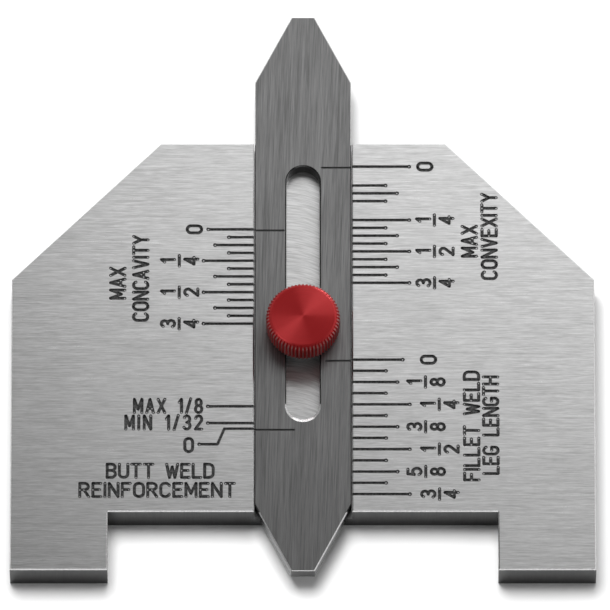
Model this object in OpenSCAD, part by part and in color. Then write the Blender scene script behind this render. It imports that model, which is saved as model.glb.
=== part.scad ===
// Weld gauge: a notched steel plate with a pointed slide in a channel, held by a thumb screw.
// It lies on its back with the scales up. Heights are measured from the foot line, and the whole
// part is then moved so that the middle of the slide, at its zero setting, is over the origin.

/* [Plate] */
// Width across the two feet
plate_w = 76.2; // [66:0.1:90]
// Height from the foot line to the top edge
plate_h = 60.6; // [58.5:0.1:72]
// Thickness of the plate
plate_t = 4.76; // [3.6:0.02:8]
// Leg of the 45 degree shoulder at each top corner
shoulder = 19.45; // [8:0.05:23]
// Width of each foot
foot_w = 12.7; // [5:0.1:18]
// Height of the notch between the feet
notch_h = 8.2; // [4:0.1:9]
// Chamfer along the edges of the plate and the slide
edge_break = 0.15; // [0.05:0.01:0.35]

/* [Slide] */
// Width of the slide
slide_w = 12.6; // [11:0.1:16]
// Length from tip to tip
slide_len = 79; // [74:0.1:90]
// Thickness of the slide
slide_t = 2; // [1.4:0.05:2.6]
// Width of the blunt tips
tip_w = 3.1; // [1:0.1:6]
// Length of the taper at each end
taper_len = 9.3; // [5:0.1:14]
// Distance between the centres of the slot's round ends
slot_run = 31.75; // [24:0.05:40]
// Clearance at each side of the slide in its channel
slide_clear = 0.1; // [0.03:0.01:0.25]
// Depth of the slide's face below the plate's face
slide_recess = 0.4; // [0.1:0.05:0.8]

/* [Clamp] */
// Outside diameter of the screw's thread
screw_d = 4.17; // [3:0.01:5]
// Clearance round the screw in the plate's tapped hole
thread_clear = 0.05; // [0.01:0.01:0.1]
// Clearance round the screw in the slide's slot
slot_clear = 0.1; // [0.05:0.01:0.4]
// Distance of the screw's end from the plate's back
screw_setback = 0.3; // [0.1:0.05:1]
// Depth of the screw in the knob
screw_seat = 2.3; // [1.2:0.1:2.8]
// Bond line round the screw in the knob
bond_gap = 0.02; // [0.01:0.01:0.05]
// Outside diameter of the washer
washer_d = 8; // [7:0.1:9]
// Thickness of the washer
washer_t = 0.5; // [0.3:0.05:1]
// Clearance round the screw in the washer
washer_clear = 0.08; // [0.02:0.01:0.1]
// Diameter over the knob's knurl
knob_d = 9.7; // [9:0.05:14]
// Height of the knob
knob_h = 3.6; // [3:0.1:6]
// Diameter of the knob's flat face
knob_face_d = 8.4; // [7.6:0.05:8.8]
// Height of the bevel round the knob's face
rim_h = 0.8; // [0.2:0.05:1]
// Height of the bevel round the knob's underside
heel_h = 0.35; // [0.1:0.05:0.6]
// Number of knurl teeth
knurl_teeth = 60; // [40:2:90]
// Depth of the knurl
knurl_depth = 0.25; // [0.1:0.01:0.3]

/* [Scales] */
// Width of an engraved line
line_w = 0.28; // [0.15:0.01:0.4]
// Depth of an engraved line
line_depth = 0.15; // [0.05:0.01:0.3]
// Diameter of the small pit at a line's outer end
pit_d = 0.42; // [0.2:0.01:0.6]
// Length of the quarter inch lines at the right, and of the convex zero line
right_long = 7.5; // [6.7:0.1:10]
// Length of the eighth inch lines at the right
right_mid = 5.9; // [5:0.1:6.6]
// Length of the sixteenth inch lines at the right
right_short = 4.4; // [2:0.1:4.9]
// Length of the zero line for weld legs
leg_datum = 6.6; // [5:0.1:8]
// Length of the quarter inch lines at the left
left_long = 6.6; // [5.7:0.1:8]
// Length of the eighth inch lines at the left
left_mid = 5.1; // [4.2:0.1:5.6]
// Length of the sixteenth inch lines at the left
left_short = 3.3; // [2:0.1:4.1]
// Length of the concave zero line and of the least and greatest crown lines
left_datum = 6; // [5:0.1:8]
// Steps of a sixteenth of an inch on each long scale
scale_steps = 12; // [4:1:12]
// Height of the zero line for convex welds
convex_zero = 57.3; // [54:0.1:58]
// Height of the zero line for concave welds
concave_zero = 48.3; // [40:0.1:56]
// Height of the zero line for weld legs
leg_zero = 29.7; // [28.5:0.1:36]
// Height of the zero line for the crown of a butt weld
crown_zero = 19.9; // [14:0.1:22]
// Length of the slide's index line for convex welds
convex_index = 3.8; // [2:0.05:4.6]
// Length of the slide's index line for concave welds
concave_index = 3.75; // [2:0.05:3.75]
// Length of the slide's index line for weld legs
leg_index = 3.3; // [2:0.05:3.75]
// Length of the slide's index line for crowns
crown_index = 5.1; // [2:0.05:6]
// Length of the level run of the crown zero line
crown_run = 3.85; // [2:0.05:5]
// Width of the slope that leads the crown zero line down to its figure
crown_slope = 0.9; // [0.5:0.1:2]
// Length of the tail of the crown zero line
crown_tail = 2.35; // [1:0.05:4]
// Drop of the crown zero line's tail below its level run
crown_drop = 2.2; // [1:0.1:4]

/* [Hidden] */
$fn = 96;

// Cutters reach this far past the faces that they cut
overcut = 0.5;
inch = 25.4;

channel_w = slide_w + 2 * slide_clear;
floor_t = plate_t - slide_t - slide_recess;
slot_r = screw_d / 2 + slot_clear;
// The screw stands in the middle of the channel's length
screw_y = (notch_h + plate_h) / 2;
slide_top = floor_t + slide_t;
knob_z = slide_top + washer_t;
screw_len = knob_z + screw_seat - screw_setback;
screw_tip = screw_d / 10;
// The slide's sides and tips are broken less than its tapers
side_break = edge_break / 2;

// Lengths of the quarter, eighth and sixteenth inch lines
right_lines = [right_long, right_mid, right_short];
left_lines = [left_long, left_mid, left_short];

steel_light = [0.78, 0.78, 0.79];
steel_dark = [0.42, 0.42, 0.43];
steel_bright = [0.62, 0.62, 0.64];
knob_red = [0.66, 0.14, 0.17];

// Outlines run anticlockwise, seen from the front
plate_outline = [
    [-plate_w / 2, 0],
    [-plate_w / 2 + foot_w, 0],
    [-plate_w / 2 + foot_w, notch_h],
    [plate_w / 2 - foot_w, notch_h],
    [plate_w / 2 - foot_w, 0],
    [plate_w / 2, 0],
    [plate_w / 2, plate_h - shoulder],
    [plate_w / 2 - shoulder, plate_h],
    [-plate_w / 2 + shoulder, plate_h],
    [-plate_w / 2, plate_h - shoulder]
];

slide_outline = [
    [-tip_w / 2, 0],
    [tip_w / 2, 0],
    [slide_w / 2, taper_len],
    [slide_w / 2, slide_len - taper_len],
    [tip_w / 2, slide_len],
    [-tip_w / 2, slide_len],
    [-slide_w / 2, slide_len - taper_len],
    [-slide_w / 2, taper_len]
];

// Moves a shape from the foot line's heights to the part's own origin
module from_foot_line() {
    translate([0, -slide_len / 2, 0])
        children();
}

module on_screw_axis(z) {
    from_foot_line()
        translate([0, screw_y, z])
            children();
}

// How far a chamfer runs on past a corner: past a point, but not into an inner corner
function corner_overrun(outline, i) =
    let (count = len(outline))
    let (before = outline[i] - outline[(i + count - 1) % count])
    let (after = outline[(i + 1) % count] - outline[i])
    cross(before, after) > 0 ? overcut : 0;

// Bar along the edge from p to q, with the solid on its left, that cuts a 45 degree chamfer with
// that leg. Side 1 is an edge of the upper face at z, and side -1 of the lower face.
module break_line(p, q, z, side, leg) {
    reach = leg + overcut;
    translate([p.x, p.y, z])
        rotate(atan2(q.y - p.y, q.x - p.x))
            rotate([90, 0, 90])
                linear_extrude(norm(q - p))
                    polygon([[reach, side * overcut], [-overcut, -side * reach], [-overcut, side * overcut]]);
}

// Chamfers all round an outline, whose even and odd edges have the two legs in turn
module outline_breaks(outline, z, side, legs) {
    count = len(outline);
    for (i = [0 : count - 1]) {
        next = (i + 1) % count;
        along = (outline[next] - outline[i]) / norm(outline[next] - outline[i]);
        start = outline[i] - along * corner_overrun(outline, i);
        stop = outline[next] + along * corner_overrun(outline, next);
        break_line(start, stop, z, side, legs[i % 2]);
    }
}

// Engraved line from p to q, sunk below the face at z = 0, with a pit at q if it has one
module engraved(p, q, end_d = line_w) {
    for (end = [[p, line_w], [q, end_d]])
        translate([end[0].x, end[0].y, -line_depth])
            cylinder(d = end[1], h = line_depth + overcut);
    translate([p.x, p.y, -line_depth])
        rotate(atan2(q.y - p.y, q.x - p.x))
            translate([0, -line_w / 2, 0])
                cube([norm(q - p), line_w, line_depth + overcut]);
}

// Line of a scale: from the channel's edge outwards, on the right (side 1) or the left (side -1)
module scale_line(side, y, length) {
    engraved([side * channel_w / 2, y], [side * (channel_w / 2 + length), y], pit_d);
}

// The zero line has its own length, and of the rest the odd sixteenths are the shortest
function line_length(step, datum, lines) =
    step == 0 ? datum : step % 4 == 0 ? lines[0] : step % 2 == 0 ? lines[1] : lines[2];

// Throat of a flat 45 degree fillet weld whose leg is that many sixteenths
function throat(step) = step * inch / 16 / sqrt(2);

// Convexity allowed on such a weld
function crown_allowed(step) = step == 0 ? 0 : step < 4 ? inch / 16 : inch / 8;

module convex_scale() {
    for (step = [0 : scale_steps]) {
        y = convex_zero - throat(step) - crown_allowed(step);
        scale_line(1, y, line_length(step, right_long, right_lines));
    }
}

module concave_scale() {
    for (step = [0 : scale_steps])
        scale_line(-1, concave_zero - throat(step), line_length(step, left_datum, left_lines));
}

module leg_scale() {
    for (step = [0 : scale_steps])
        scale_line(1, leg_zero - step * inch / 16, line_length(step, leg_datum, right_lines));
}

// The crown scale has a least and a greatest line, and a zero line that is led down to its figure
module crown_scale() {
    for (height = [inch / 32, inch / 8])
        scale_line(-1, crown_zero + height, left_datum);
    edge = [-channel_w / 2, crown_zero];
    bend = edge - [crown_run, 0];
    foot = bend - [crown_slope, crown_drop];
    engraved(edge, bend);
    engraved(bend, foot);
    engraved(foot, foot - [crown_tail, 0], pit_d);
}

// Line on the slide, from its right (side 1) or left (side -1) edge inwards
module index_line(side, y, length) {
    engraved([side * slide_w / 2, y], [side * (slide_w / 2 - length), y]);
}

// The index lines meet the zero lines of the four scales at the zero setting
module index_lines() {
    index_line(1, convex_zero, convex_index);
    index_line(-1, concave_zero, concave_index);
    index_line(1, leg_zero, leg_index);
    index_line(-1, crown_zero, crown_index);
}

// Slot with round ends, centred on the slide, whose wall leans from radius r1 up to r2
module slot(r1, r2, z, h) {
    translate([0, slide_len / 2, z]) {
        for (end = [-1, 1])
            translate([0, end * slot_run / 2, 0])
                rotate(-90 * end)
                    cylinder(r1 = r1, r2 = r2, h = h);
        rotate([90, 0, 0])
            linear_extrude(slot_run, center = true)
                polygon([[-r1, 0], [r1, 0], [r2, h], [-r2, h]]);
    }
}

// Ring of pointed teeth, as a straight knurl leaves them
function knurl_ring() = [
    for (i = [0 : 2 * knurl_teeth - 1])
        let (r = knob_d / 2 - (i % 2) * knurl_depth)
        let (turn = i * 180 / knurl_teeth)
        [r * cos(turn), r * sin(turn)]
];

module gauge_plate() {
    // The channel's cutters run out past the notch and the top edge
    low = notch_h - overcut;
    high = plate_h + overcut;
    color(steel_light)
        from_foot_line()
            difference() {
                linear_extrude(plate_t)
                    polygon(plate_outline);
                translate([-channel_w / 2, low, floor_t])
                    cube([channel_w, high - low, plate_t]);
                translate([0, screw_y, -overcut])
                    cylinder(r = screw_d / 2 + thread_clear, h = floor_t + 2 * overcut);
                outline_breaks(plate_outline, 0, -1, [edge_break, edge_break]);
                outline_breaks(plate_outline, plate_t, 1, [edge_break, edge_break]);
                break_line([-channel_w / 2, low], [-channel_w / 2, high], plate_t, 1, edge_break);
                break_line([channel_w / 2, high], [channel_w / 2, low], plate_t, 1, edge_break);
                translate([0, 0, plate_t]) {
                    convex_scale();
                    concave_scale();
                    leg_scale();
                    crown_scale();
                }
            }
}

module pointer_slide() {
    // The slot's chamfer is a flared cutter that starts inside the slot and runs out of the face
    flare = edge_break + overcut;
    color(steel_dark)
        from_foot_line()
            translate([0, 0, floor_t])
                difference() {
                    linear_extrude(slide_t)
                        polygon(slide_outline);
                    slot(slot_r, slot_r, -overcut, slide_t + 2 * overcut);
                    slot(slot_r - overcut, slot_r + flare, slide_t - flare, flare + overcut);
                    outline_breaks(slide_outline, 0, -1, [side_break, edge_break]);
                    outline_breaks(slide_outline, slide_t, 1, [side_break, edge_break]);
                    translate([0, 0, slide_t])
                        index_lines();
                }
}

// Knob turned with a bevel round each end, knurled between them, and bored for the screw
module thumb_knob() {
    knob_r = knob_d / 2;
    face_r = knob_face_d / 2;
    rim_slope = rim_h / (knob_r - face_r);
    outer_r = knob_r + overcut;
    color(knob_red)
        on_screw_axis(knob_z)
            difference() {
                intersection() {
                    rotate_extrude()
                        polygon([
                            [0, 0],
                            [knob_r - heel_h, 0],
                            [outer_r, heel_h + overcut],
                            [outer_r, knob_h - rim_slope * (outer_r - face_r)],
                            [face_r, knob_h],
                            [0, knob_h]
                        ]);
                    translate([0, 0, -overcut])
                        linear_extrude(knob_h + 2 * overcut)
                            polygon(knurl_ring());
                }
                translate([0, 0, -overcut])
                    cylinder(r = screw_d / 2 + bond_gap, h = screw_seat + overcut);
            }
}

module clamp_screw() {
    r = screw_d / 2;
    color(steel_bright)
        on_screw_axis(screw_setback)
            rotate_extrude()
                polygon([[0, 0], [r - screw_tip, 0], [r, screw_tip], [r, screw_len], [0, screw_len]]);
}

module clamp_washer() {
    color(steel_bright)
        on_screw_axis(slide_top)
            difference() {
                cylinder(d = washer_d, h = washer_t);
                translate([0, 0, -overcut])
                    cylinder(r = screw_d / 2 + washer_clear, h = washer_t + 2 * overcut);
            }
}

gauge_plate();
pointer_slide();
thumb_knob();
clamp_screw();
clamp_washer();
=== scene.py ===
"""Weld gauge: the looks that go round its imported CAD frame, laid out as a Blender add-on.

Everything is in metres in the frame's own axes: X to the right and Y up the scale face, Z out of it.
Sizes in the tables are millimetres, and heights there are counted from the line that the feet stand on.
"""

import math

import bmesh
import bpy
from bpy.props import FloatProperty, FloatVectorProperty, IntProperty, PointerProperty
from bpy.types import Operator, Panel, PropertyGroup
from mathutils import Euler, Matrix, Vector


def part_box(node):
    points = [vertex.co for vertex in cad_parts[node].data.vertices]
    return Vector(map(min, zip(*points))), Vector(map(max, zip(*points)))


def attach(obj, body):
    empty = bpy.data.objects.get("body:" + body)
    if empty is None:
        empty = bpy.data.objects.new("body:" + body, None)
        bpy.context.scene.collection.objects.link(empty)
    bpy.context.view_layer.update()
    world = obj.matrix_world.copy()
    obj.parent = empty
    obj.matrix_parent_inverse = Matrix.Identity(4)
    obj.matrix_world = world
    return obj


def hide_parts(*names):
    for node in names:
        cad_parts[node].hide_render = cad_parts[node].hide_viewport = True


bl_info = {
    "name": "Weld gauge",
    "version": (1, 0, 0),
    "blender": (4, 5, 0),
    "location": "View3D > Sidebar > Weld gauge",
    "description": "Builds a stainless weld gauge with engraved scales round its CAD frame",
    "category": "Object",
}

MM = 0.001
INCH = 25.4 * MM
# One step of the leg scale, and of the two throat scales
LEG_STEP = INCH / 16
THROAT_STEP = LEG_STEP / math.sqrt(2)
# Heights and radii closer than this count as one
NEAR = 0.02 * MM
# Edges that turn by more than this are shaded as corners
SHARP = math.radians(18)
# Height of a face's normal below which it is a wall, and above which it is level; chamfers lie between
WALL, LEVEL = 0.3, 0.98

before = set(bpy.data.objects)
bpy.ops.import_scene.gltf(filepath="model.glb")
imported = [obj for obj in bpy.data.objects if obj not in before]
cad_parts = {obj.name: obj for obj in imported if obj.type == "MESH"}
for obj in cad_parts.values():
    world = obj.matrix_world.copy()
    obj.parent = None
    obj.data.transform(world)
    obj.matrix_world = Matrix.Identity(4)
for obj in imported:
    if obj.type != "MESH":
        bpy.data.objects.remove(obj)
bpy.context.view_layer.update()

PLATE_LOW, PLATE_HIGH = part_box("gauge_plate")
SLIDE_LOW, SLIDE_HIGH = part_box("pointer_slide")
KNOB_LOW, KNOB_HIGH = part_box("thumb_knob")
SCREW_LOW, SCREW_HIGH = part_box("clamp_screw")
SCREW_AXIS = (SCREW_LOW + SCREW_HIGH) / 2
FACE = PLATE_HIGH.z
FOOT_LINE = PLATE_LOW.y


def linear(code):
    """The linear colour of an sRGB hex code, with full alpha."""
    parts = [int(code[i:i + 2], 16) / 255 for i in (1, 3, 5)]
    return [c / 12.92 if c <= 0.04045 else ((c + 0.055) / 1.055) ** 2.4 for c in parts] + [1.0]


# The engraver's single-stroke alphabet


def bow(cx, cy, rx, ry, start, stop):
    """Points of an elliptical bow from one angle to another, in degrees, about every 15."""
    steps = max(2, round(abs(stop - start) / 15))
    turns = [math.radians(start + (stop - start) * i / steps) for i in range(steps + 1)]
    return [(cx + rx * math.cos(a), cy + ry * math.sin(a)) for a in turns]


def ring(cx, cy, rx, ry):
    """A closed bow, as two passes of the cutter."""
    return [bow(cx, cy, rx, ry, 90, 270), bow(cx, cy, rx, ry, -90, 90)]


def oval(width):
    """A tall oval with straight sides, as two passes of the cutter."""
    r = width / 2
    left = bow(r, 1 - r, r, r, 90, 180) + bow(r, r, r, r, 180, 270)
    right = bow(r, r, r, r, -90, 0) + bow(r, 1 - r, r, r, 0, 90)
    return [left, right]


STEM = [(0, 0), (0, 1)]
HOOP = bow(0.28, 0.72, 0.28, 0.28, 25, 180) + bow(0.28, 0.28, 0.28, 0.28, 180, 335)

# Width of each sign, and the cutter's passes, on a height of 1
ALPHABET = {
    " ": (0.4, []),
    "/": (0.36, [[(0, -0.04), (0.36, 1.04)]]),
    "0": (0.54, oval(0.54)),
    "1": (0.2, [[(0.2, 0), (0.2, 1)], [(0.2, 1), (0, 0.76)]]),
    "2": (0.54, [bow(0.27, 0.74, 0.26, 0.26, 165, -30) + [(0, 0)], [(0, 0), (0.54, 0)]]),
    "3": (0.54, [bow(0.27, 0.755, 0.24, 0.245, 155, -90), bow(0.27, 0.255, 0.27, 0.255, 90, -155)]),
    "4": (0.56, [[(0.42, 0), (0.42, 1)], [(0.42, 1), (0, 0.3)], [(0, 0.3), (0.56, 0.3)]]),
    "5": (0.54, [[(0.48, 1), (0.08, 1)], [(0.08, 1), (0.04, 0.52)],
                 bow(0.27, 0.32, 0.27, 0.32, 142, -150)]),
    "8": (0.54, ring(0.27, 0.76, 0.22, 0.24) + ring(0.27, 0.26, 0.27, 0.26)),
    "A": (0.56, [[(0, 0), (0.28, 1)], [(0.28, 1), (0.56, 0)], [(0.1, 0.3), (0.46, 0.3)]]),
    "B": (0.54, [STEM, [(0, 1)] + bow(0.28, 0.765, 0.235, 0.235, 90, -90) + [(0, 0.53)],
                 [(0, 0.53)] + bow(0.27, 0.265, 0.27, 0.265, 90, -90) + [(0, 0)]]),
    "C": (0.56, [HOOP]),
    "D": (0.56, [STEM, [(0, 1)] + bow(0.27, 0.71, 0.29, 0.29, 90, 0)
                 + bow(0.27, 0.29, 0.29, 0.29, 0, -90) + [(0, 0)]]),
    "E": (0.5, [STEM, [(0, 1), (0.5, 1)], [(0, 0.52), (0.42, 0.52)], [(0, 0), (0.5, 0)]]),
    "F": (0.5, [STEM, [(0, 1), (0.5, 1)], [(0, 0.52), (0.42, 0.52)]]),
    "G": (0.56, [HOOP, [(0.54, 0.16), (0.54, 0.45)], [(0.54, 0.45), (0.3, 0.45)]]),
    "H": (0.56, [STEM, [(0.56, 0), (0.56, 1)], [(0, 0.52), (0.56, 0.52)]]),
    "I": (0.0, [STEM]),
    "L": (0.5, [STEM, [(0, 0), (0.5, 0)]]),
    "M": (0.64, [STEM, [(0, 1), (0.32, 0.25)], [(0.32, 0.25), (0.64, 1)], [(0.64, 1), (0.64, 0)]]),
    "N": (0.56, [STEM, [(0, 1), (0.56, 0)], [(0.56, 0), (0.56, 1)]]),
    "O": (0.58, oval(0.58)),
    "R": (0.56, [STEM, [(0, 1)] + bow(0.29, 0.755, 0.25, 0.245, 90, -90) + [(0, 0.51)],
                 [(0.26, 0.51), (0.56, 0)]]),
    "S": (0.54, [bow(0.27, 0.75, 0.25, 0.25, 25, 270), bow(0.27, 0.25, 0.27, 0.25, 90, -155)]),
    "T": (0.56, [[(0, 1), (0.56, 1)], [(0.28, 1), (0.28, 0)]]),
    "U": (0.56, [[(0, 1)] + bow(0.28, 0.28, 0.28, 0.28, 180, 360) + [(0.56, 1)]]),
    "V": (0.56, [[(0, 1), (0.28, 0)], [(0.28, 0), (0.56, 1)]]),
    "W": (0.72, [[(0, 1), (0.18, 0)], [(0.18, 0), (0.36, 0.8)],
                 [(0.36, 0.8), (0.54, 0)], [(0.54, 0), (0.72, 1)]]),
    "X": (0.56, [[(0, 0), (0.56, 1)], [(0, 1), (0.56, 0)]]),
    "Y": (0.56, [[(0, 1), (0.28, 0.5)], [(0.56, 1), (0.28, 0.5)], [(0.28, 0.5), (0.28, 0)]]),
}

# Lines that read up the plate: text, x of the foot of the letters, height of the line's middle, length,
# and width of the letters as a share of the alphabet's own
UPRIGHT_LINES = (
    ("MAX", -23.1, 40.6, 4.7, 0.98),
    ("CONCAVITY", -20.1, 41.3, 12.4, 0.95),
    ("MAX", 22.9, 46.6, 4.7, 0.98),
    ("CONVEXITY", 25.5, 47.3, 12.5, 0.97),
    ("FILLET WELD", 23.1, 20.3, 15.7, 1.02),
    ("LEG LENGTH", 25.6, 20.4, 14.1, 0.97),
)
# Lines that read across it: text, x of the left end, height of the foot of the letters, length, width
LEVEL_LINES = (
    ("MAX 1/8", -22.2, 22.0, 9.2, 0.82),
    ("MIN 1/32", -23.3, 19.65, 10.3, 0.82),
    ("0", -15.65, 16.45, 1.5, 1.0),
    ("BUTT WELD", -25.7, 12.8, 14.2, 1.06),
    ("REINFORCEMENT", -29.25, 10.1, 20.5, 1.1),
)
# Feet of the zeros, and bars of the quarters, on the concave, convex and leg scales; bars of the eighths
ZEROS_X = (-13.1, 17.1, 17.5)
QUARTERS_X = (-16.2, 17.2, 17.75)
EIGHTHS_X = 15.97
# Centre of the lower round end of the slide's slot, the radius of its broken edge, and a height that
# lies past its upper end and below the slide's tip
SLOT_END = Vector((0, -INCH * 5 / 8))
SLOT_EDGE = 2.335 * MM
PAST_SLOT = SLIDE_HIGH.y * 0.7
# Lengths of the quarter, eighth and sixteenth inch lines on each side, and of the zero lines
RIGHT_TICKS = (7.5, 5.9, 4.4)
LEFT_TICKS = (6.6, 5.1, 3.3)
LEG_DATUM = 6.6
LEFT_DATUM = 6.0
# The crown zero line: level run, width and drop of its slope, and tail
CROWN_LINE = (3.85, 0.9, 2.2, 2.35)


class GaugeEngraving(PropertyGroup):
    """Sizes of the engraved words and figures."""

    capital: FloatProperty(
        name="Capital height", description="Height of the words' capitals, over their strokes",
        default=2.27 * MM, unit="LENGTH", precision=5)
    figure: FloatProperty(
        name="Figure height", description="Height of the figures in a fraction, over their strokes",
        default=2.12 * MM, unit="LENGTH", precision=5)
    stroke: FloatProperty(
        name="Stroke", description="Width of the words' and figures' strokes",
        default=0.4 * MM, unit="LENGTH", precision=5)
    depth: FloatProperty(
        name="Depth", description="Depth of the engraving, a little below the solid's own scale lines",
        default=0.16 * MM, unit="LENGTH", precision=5)
    tick: FloatProperty(
        name="Scale line", description="Width of a scale line over its blackened edges",
        default=0.36 * MM, unit="LENGTH", precision=5)
    pit: FloatProperty(
        name="Pit", description="Diameter of the pit where the cutter plunged at a scale line's end",
        default=0.5 * MM, unit="LENGTH", precision=5)
    bar: FloatProperty(
        name="Fraction bar", description="Length of the bar of a fraction, over its round ends",
        default=1.9 * MM, unit="LENGTH", precision=5)
    upper_gap: FloatProperty(
        name="Upper gap", description="Distance from the bar's middle to the figure above it",
        default=0.4 * MM, unit="LENGTH", precision=5)
    lower_gap: FloatProperty(
        name="Lower gap", description="Distance from the bar's middle to the figure below it",
        default=0.52 * MM, unit="LENGTH", precision=5)
    pip: FloatProperty(
        name="Pip", description="Diameter of the bare spot where the cutter plunged",
        default=0.2 * MM, unit="LENGTH", precision=5)
    convex_zero: FloatProperty(
        name="Convex zero", description="Height of the zero line for convex welds above the feet",
        default=57.3 * MM, unit="LENGTH", precision=5)
    concave_zero: FloatProperty(
        name="Concave zero", description="Height of the zero line for concave welds above the feet",
        default=48.3 * MM, unit="LENGTH", precision=5)
    leg_zero: FloatProperty(
        name="Leg zero", description="Height of the zero line for weld legs above the feet",
        default=29.7 * MM, unit="LENGTH", precision=5)
    crown_zero: FloatProperty(
        name="Crown zero", description="Height of the zero line for weld crowns above the feet",
        default=19.9 * MM, unit="LENGTH", precision=5)


class GaugeSteel(PropertyGroup):
    """Colours and grain of the steel pieces."""

    plate: FloatVectorProperty(
        name="Plate", description="Colour of the brushed plate",
        default=linear("#d2d2d2"), size=4, subtype="COLOR", min=0, max=1)
    # Painted shade: the slide's colour is set darker than the plate's, standing in for the light that its
    # lengthwise grain turns away
    slide: FloatVectorProperty(
        name="Slide", description="Colour of the brushed slide",
        default=linear("#868686"), size=4, subtype="COLOR", min=0, max=1)
    floor: FloatVectorProperty(
        name="Channel", description="Colour of the milled channel",
        default=linear("#dedede"), size=4, subtype="COLOR", min=0, max=1)
    fill: FloatVectorProperty(
        name="Engraving", description="Colour of the black in the engraved lines",
        default=linear("#222222"), size=4, subtype="COLOR", min=0, max=1)
    # Painted shade: the ground edges are set much darker than the steel faces, so that the walls read as
    # the dark band of shade under the near edges
    edge: FloatVectorProperty(
        name="Edges", description="Colour of the ground edges",
        default=linear("#464646"), size=4, subtype="COLOR", min=0, max=1)
    broken: FloatVectorProperty(
        name="Broken edges", description="Colour of the bright chamfers that break the edges",
        default=linear("#d8d8d8"), size=4, subtype="COLOR", min=0, max=1)
    screw: FloatVectorProperty(
        name="Screw", description="Colour of the machined screw and washer",
        default=linear("#bababa"), size=4, subtype="COLOR", min=0, max=1)
    streak: FloatProperty(
        name="Streak", description="Width of a brushed streak, drawn wider than its real 0.05 mm to show",
        default=0.1 * MM, unit="LENGTH", precision=5)
    plate_run: FloatProperty(
        name="Plate streaks", description="Length of a streak on the plate",
        default=2.2 * MM, unit="LENGTH", precision=4)
    slide_run: FloatProperty(
        name="Slide streaks", description="Length of a streak on the slide",
        default=6 * MM, unit="LENGTH", precision=4)
    slide_lean: FloatProperty(
        name="Slide lean", description="Angle by which the slide's streaks lean off its length",
        default=math.radians(2), unit="ROTATION")
    crescent: FloatProperty(
        name="Crescent", description="How much wider the slot's edge is broken at its lower end",
        default=0.25 * MM, unit="LENGTH", precision=5)
    mill_feed: FloatProperty(
        name="Mill feed", description="Distance between the arcs that the cutter left in the channel",
        default=0.17 * MM, unit="LENGTH", precision=5)


class GaugeKnob(PropertyGroup):
    """Shape and colour of the thumb knob, and the thread of its screw."""

    red: FloatVectorProperty(
        name="Red", description="Colour of the dyed anodised layer",
        default=linear("#c62a2d"), size=4, subtype="COLOR", min=0, max=1)
    # Painted highlight: the crests' pale colour stands in for the light that they catch
    bare: FloatVectorProperty(
        name="Crests", description="Colour of the knurl's crests, rubbed nearly through to the aluminium",
        default=linear("#9c7472"), size=4, subtype="COLOR", min=0, max=1)
    teeth: IntProperty(name="Teeth", description="Number of knurl teeth", default=60, min=12, max=120)
    knurl_depth: FloatProperty(
        name="Knurl depth", description="Depth of the straight knurl",
        default=0.25 * MM, unit="LENGTH", precision=5)
    knurl_sink: FloatProperty(
        name="Knurl sink", description="How much deeper the knurl would be at the face, had it run there",
        default=0.35 * MM, unit="LENGTH", precision=5)
    face: FloatProperty(
        name="Face", description="Diameter of the turned face",
        default=8.4 * MM, unit="LENGTH", precision=5)
    rim: FloatProperty(
        name="Rim", description="Height of the bevel round the face",
        default=0.8 * MM, unit="LENGTH", precision=5)
    heel: FloatProperty(
        name="Heel", description="Height of the bevel round the underside",
        default=0.35 * MM, unit="LENGTH", precision=5)
    lip: FloatProperty(
        name="Lip", description="Radius of the rounded edge of the face",
        default=0.08 * MM, unit="LENGTH", precision=5)
    swell: FloatProperty(
        name="Swell", description="Rise of the rounded bevel above a straight one",
        default=0.08 * MM, unit="LENGTH", precision=5)
    pitch: FloatProperty(
        name="Thread pitch", description="Rise of the screw in one turn, 32 threads an inch",
        default=INCH / 32, unit="LENGTH", precision=6)


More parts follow.
